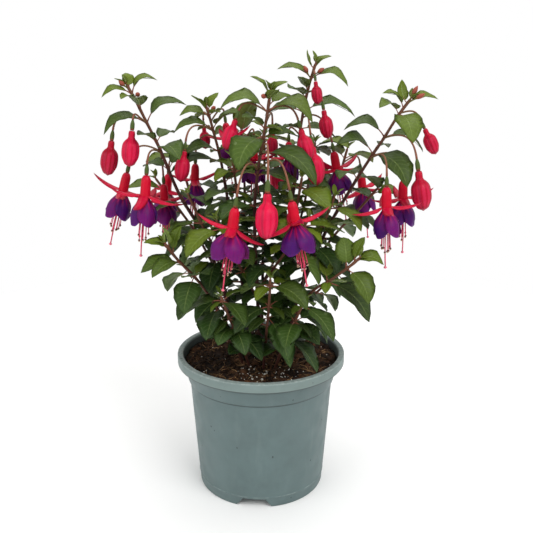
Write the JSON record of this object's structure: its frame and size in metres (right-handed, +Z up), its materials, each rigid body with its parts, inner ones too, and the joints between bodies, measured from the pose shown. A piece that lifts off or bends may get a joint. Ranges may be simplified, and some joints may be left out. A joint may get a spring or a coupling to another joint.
{
  "type": "potted fuchsia",
  "caption": "Bushy upright fuchsia with hanging red and violet flowers, arching stems and pointed leaves, in a round tapered plastic nursery pot with a turned-down rim.",
  "frame": {"origin": "on the pot's axis, on the surface that its foot ring stands on", "axes": "+Z up along the pot's axis, -Y towards the side that the picture shows, +X to the picture's right"},
  "size_m": [0.2904, 0.2111, 0.385],
  "materials": {
    "pot": "grey-green moulded plastic with a soft sheen",
    "soil": "rough dark potting mix",
    "shoot": "soft green leaves on red-brown stems",
    "calyx": "waxy red",
    "corolla": "satin violet",
    "bud": "waxy crimson"
  },
  "bodies": {
    "root": {"pot": "pot", "soil": "soil", "shoot_left": "shoot", "shoot_second": "shoot", "shoot_centre": "shoot", "shoot_third": "shoot", "shoot_right": "shoot", "shoot_low_left": "shoot", "shoot_low_right": "shoot", "shoot_front_left": "shoot", "shoot_front": "shoot", "shoot_front_right": "shoot", "shoot_back_left": "shoot", "shoot_back": "shoot", "shoot_back_right": "shoot", "bloom_a_calyx": "calyx", "bloom_b_calyx": "calyx", "bloom_c_calyx": "calyx", "bloom_d_calyx": "calyx", "bloom_e_calyx": "calyx", "bloom_f_calyx": "calyx", "bloom_g_calyx": "calyx", "bloom_h_calyx": "calyx", "bloom_i_calyx": "calyx", "bloom_j_calyx": "calyx", "bloom_k_calyx": "calyx", "bloom_l_calyx": "calyx", "bloom_m_calyx": "calyx", "bloom_n_calyx": "calyx", "bloom_a_corolla": "corolla", "bloom_b_corolla": "corolla", "bloom_c_corolla": "corolla", "bloom_d_corolla": "corolla", "bloom_e_corolla": "corolla", "bloom_f_corolla": "corolla", "bloom_g_corolla": "corolla", "bloom_h_corolla": "corolla", "bloom_i_corolla": "corolla", "bloom_j_corolla": "corolla", "bloom_k_corolla": "corolla", "bloom_l_corolla": "corolla", "bloom_m_corolla": "corolla", "bloom_n_corolla": "corolla", "bud_1": "bud", "bud_2": "bud", "bud_3": "bud", "bud_4": "bud", "bud_5": "bud", "bud_6": "bud", "bud_7": "bud", "bud_8": "bud", "bud_9": "bud", "bud_10": "bud", "bud_11": "bud", "bud_12": "bud", "bud_13": "bud", "bud_14": "bud", "bud_15": "bud"}
  },
  "joints": []
}
